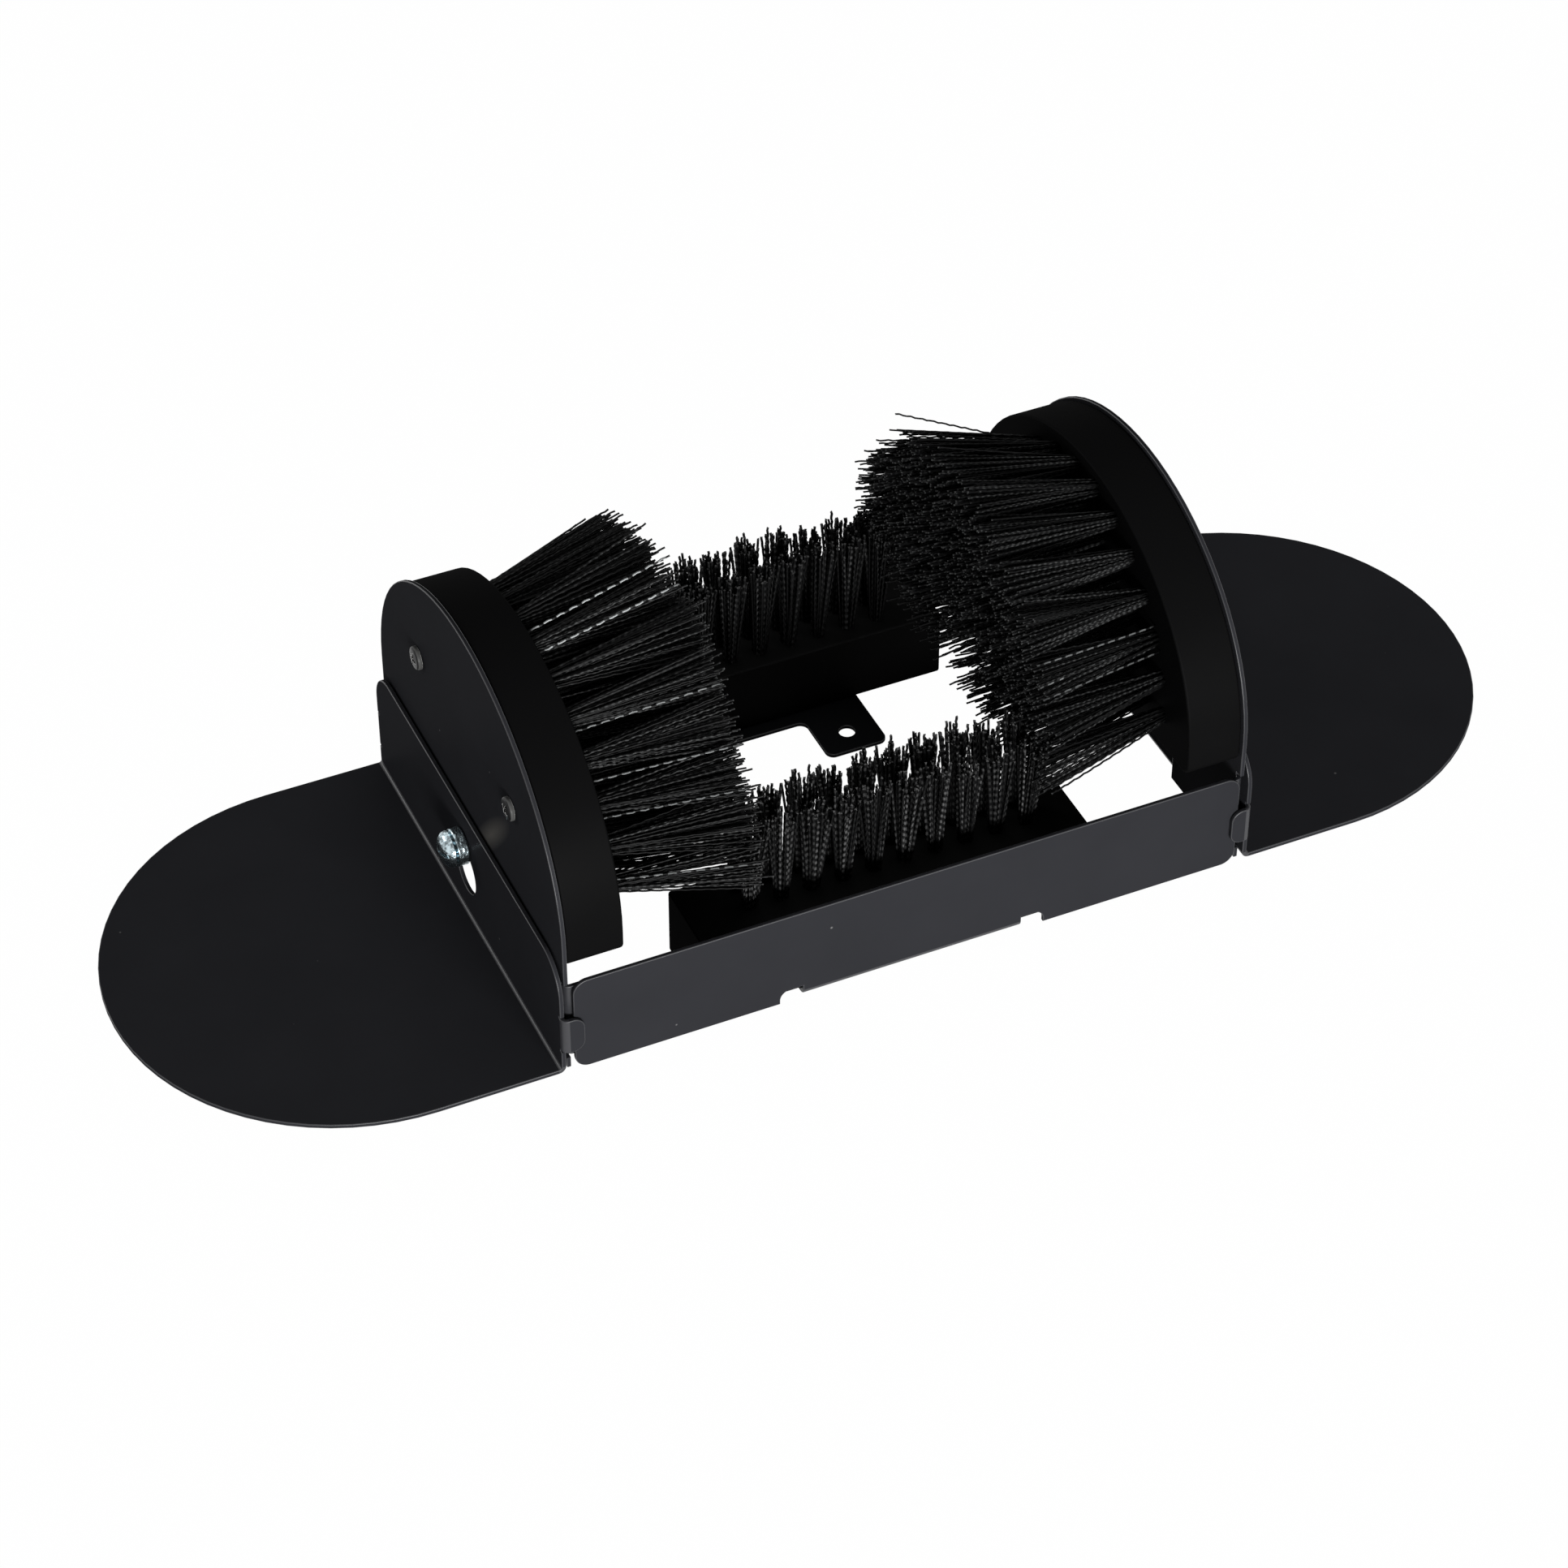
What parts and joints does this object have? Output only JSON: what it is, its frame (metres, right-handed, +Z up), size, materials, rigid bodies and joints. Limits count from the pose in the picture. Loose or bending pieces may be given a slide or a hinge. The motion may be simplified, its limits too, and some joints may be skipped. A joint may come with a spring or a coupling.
{
  "type": "boot scraper",
  "caption": "Free-standing boot scraper: facing side brushes and low strip brushes in a bent sheet frame, with a hook-on foot plate to stand on at each end.",
  "frame": {"origin": "on the floor, in the middle of the frame between the brushes", "axes": "+X along the length from the left foot plate to the right one, +Y the way a boot is drawn through, +Z up"},
  "size_m": [0.484, 0.1636, 0.1223],
  "materials": {
    "black_sheet": "black powder coat, satin with a fine texture",
    "brush_block": "black moulded plastic, matt",
    "bristle": "black crimped plastic filament",
    "zinc": "bright zinc-plated steel",
    "dark_screw": "dark plated steel"
  },
  "bodies": {
    "frame": {"left_end_plate": "black_sheet", "right_end_plate": "black_sheet", "front_rail": "black_sheet", "rear_rail": "black_sheet", "left_brush_block": "brush_block", "right_brush_block": "brush_block", "front_brush_block": "brush_block", "rear_brush_block": "brush_block", "left_bristles": "bristle", "right_bristles": "bristle", "front_bristles": "bristle", "rear_bristles": "bristle", "left_hook_bolt": "zinc", "right_hook_bolt": "zinc", "left_hook_washer": "zinc", "right_hook_washer": "zinc", "left_hook_nut": "zinc", "right_hook_nut": "zinc", "left_block_screw_front": "dark_screw", "left_block_screw_rear": "dark_screw", "right_block_screw_front": "dark_screw", "right_block_screw_rear": "dark_screw", "front_strip_screw_left": "dark_screw", "front_strip_screw_right": "dark_screw", "rear_strip_screw_left": "dark_screw", "rear_strip_screw_right": "dark_screw"},
    "left_foot": {"left_foot_plate": "black_sheet"},
    "right_foot": {"right_foot_plate": "black_sheet"}
  },
  "joints": [
    {"name": "left_foot_lift", "type": "slide", "parent": "frame", "child": "left_foot", "axis": [0, 0, 1], "range_m": [0, 0.011]},
    {"name": "right_foot_lift", "type": "slide", "parent": "frame", "child": "right_foot", "axis": [0, 0, 1], "range_m": [0, 0.011]}
  ]
}
